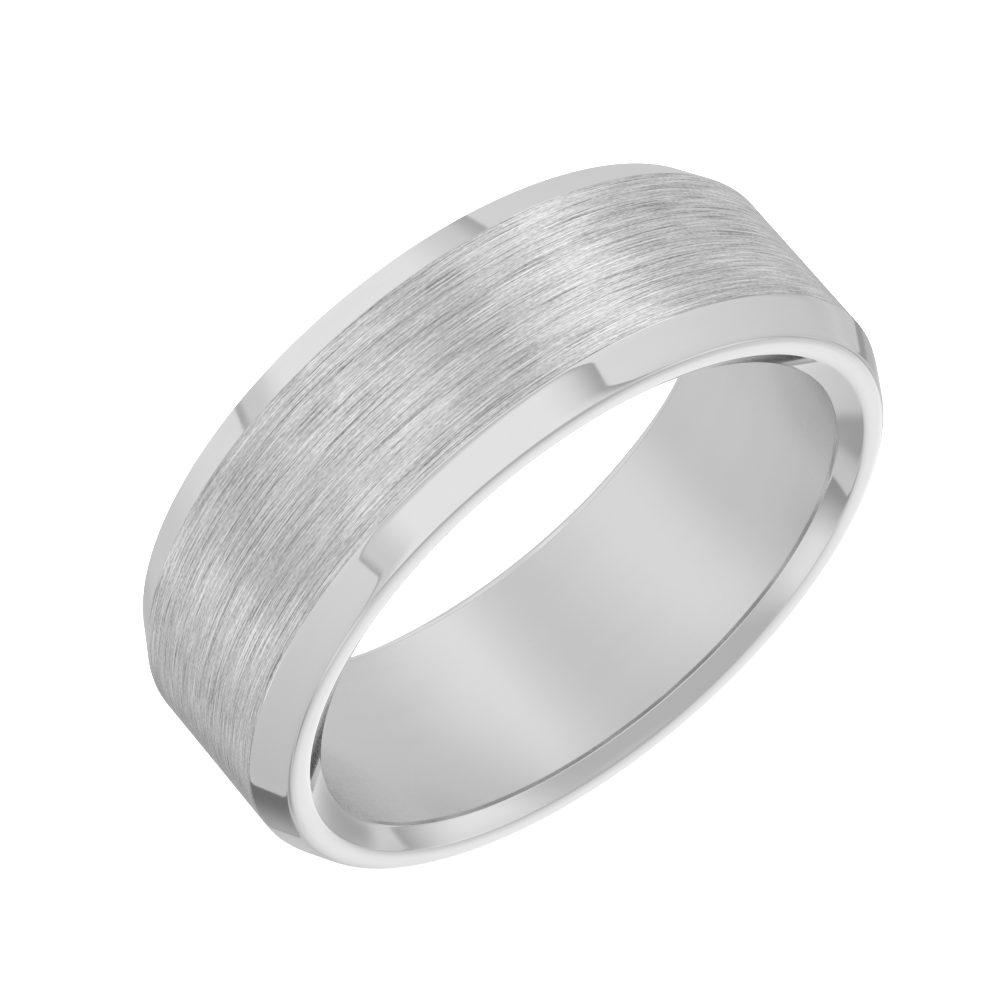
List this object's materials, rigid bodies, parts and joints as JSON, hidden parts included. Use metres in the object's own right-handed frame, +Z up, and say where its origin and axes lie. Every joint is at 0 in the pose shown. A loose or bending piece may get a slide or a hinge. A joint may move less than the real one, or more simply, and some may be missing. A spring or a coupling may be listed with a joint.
{
  "type": "wedding band",
  "caption": "Flat wedding band with a brushed centre, polished bevelled edges, rounded rims and a polished straight bore with flared ends.",
  "frame": {"origin": "centre of the finger bore, midway between the two rims", "axes": "+Y along the ring's axis from the front rim to the rear rim, +Z up with the ring standing on its band"},
  "size_m": [0.0242, 0.008, 0.024],
  "materials": {
    "brushed_band": "brushed round the band, fine and even",
    "polished_edge": "mirror polished",
    "polished_bore": "polished"
  },
  "bodies": {
    "root": {"centre_band": "brushed_band", "bore_sleeve": "polished_bore", "front_edge_ring": "polished_edge", "rear_edge_ring": "polished_edge"}
  },
  "joints": []
}
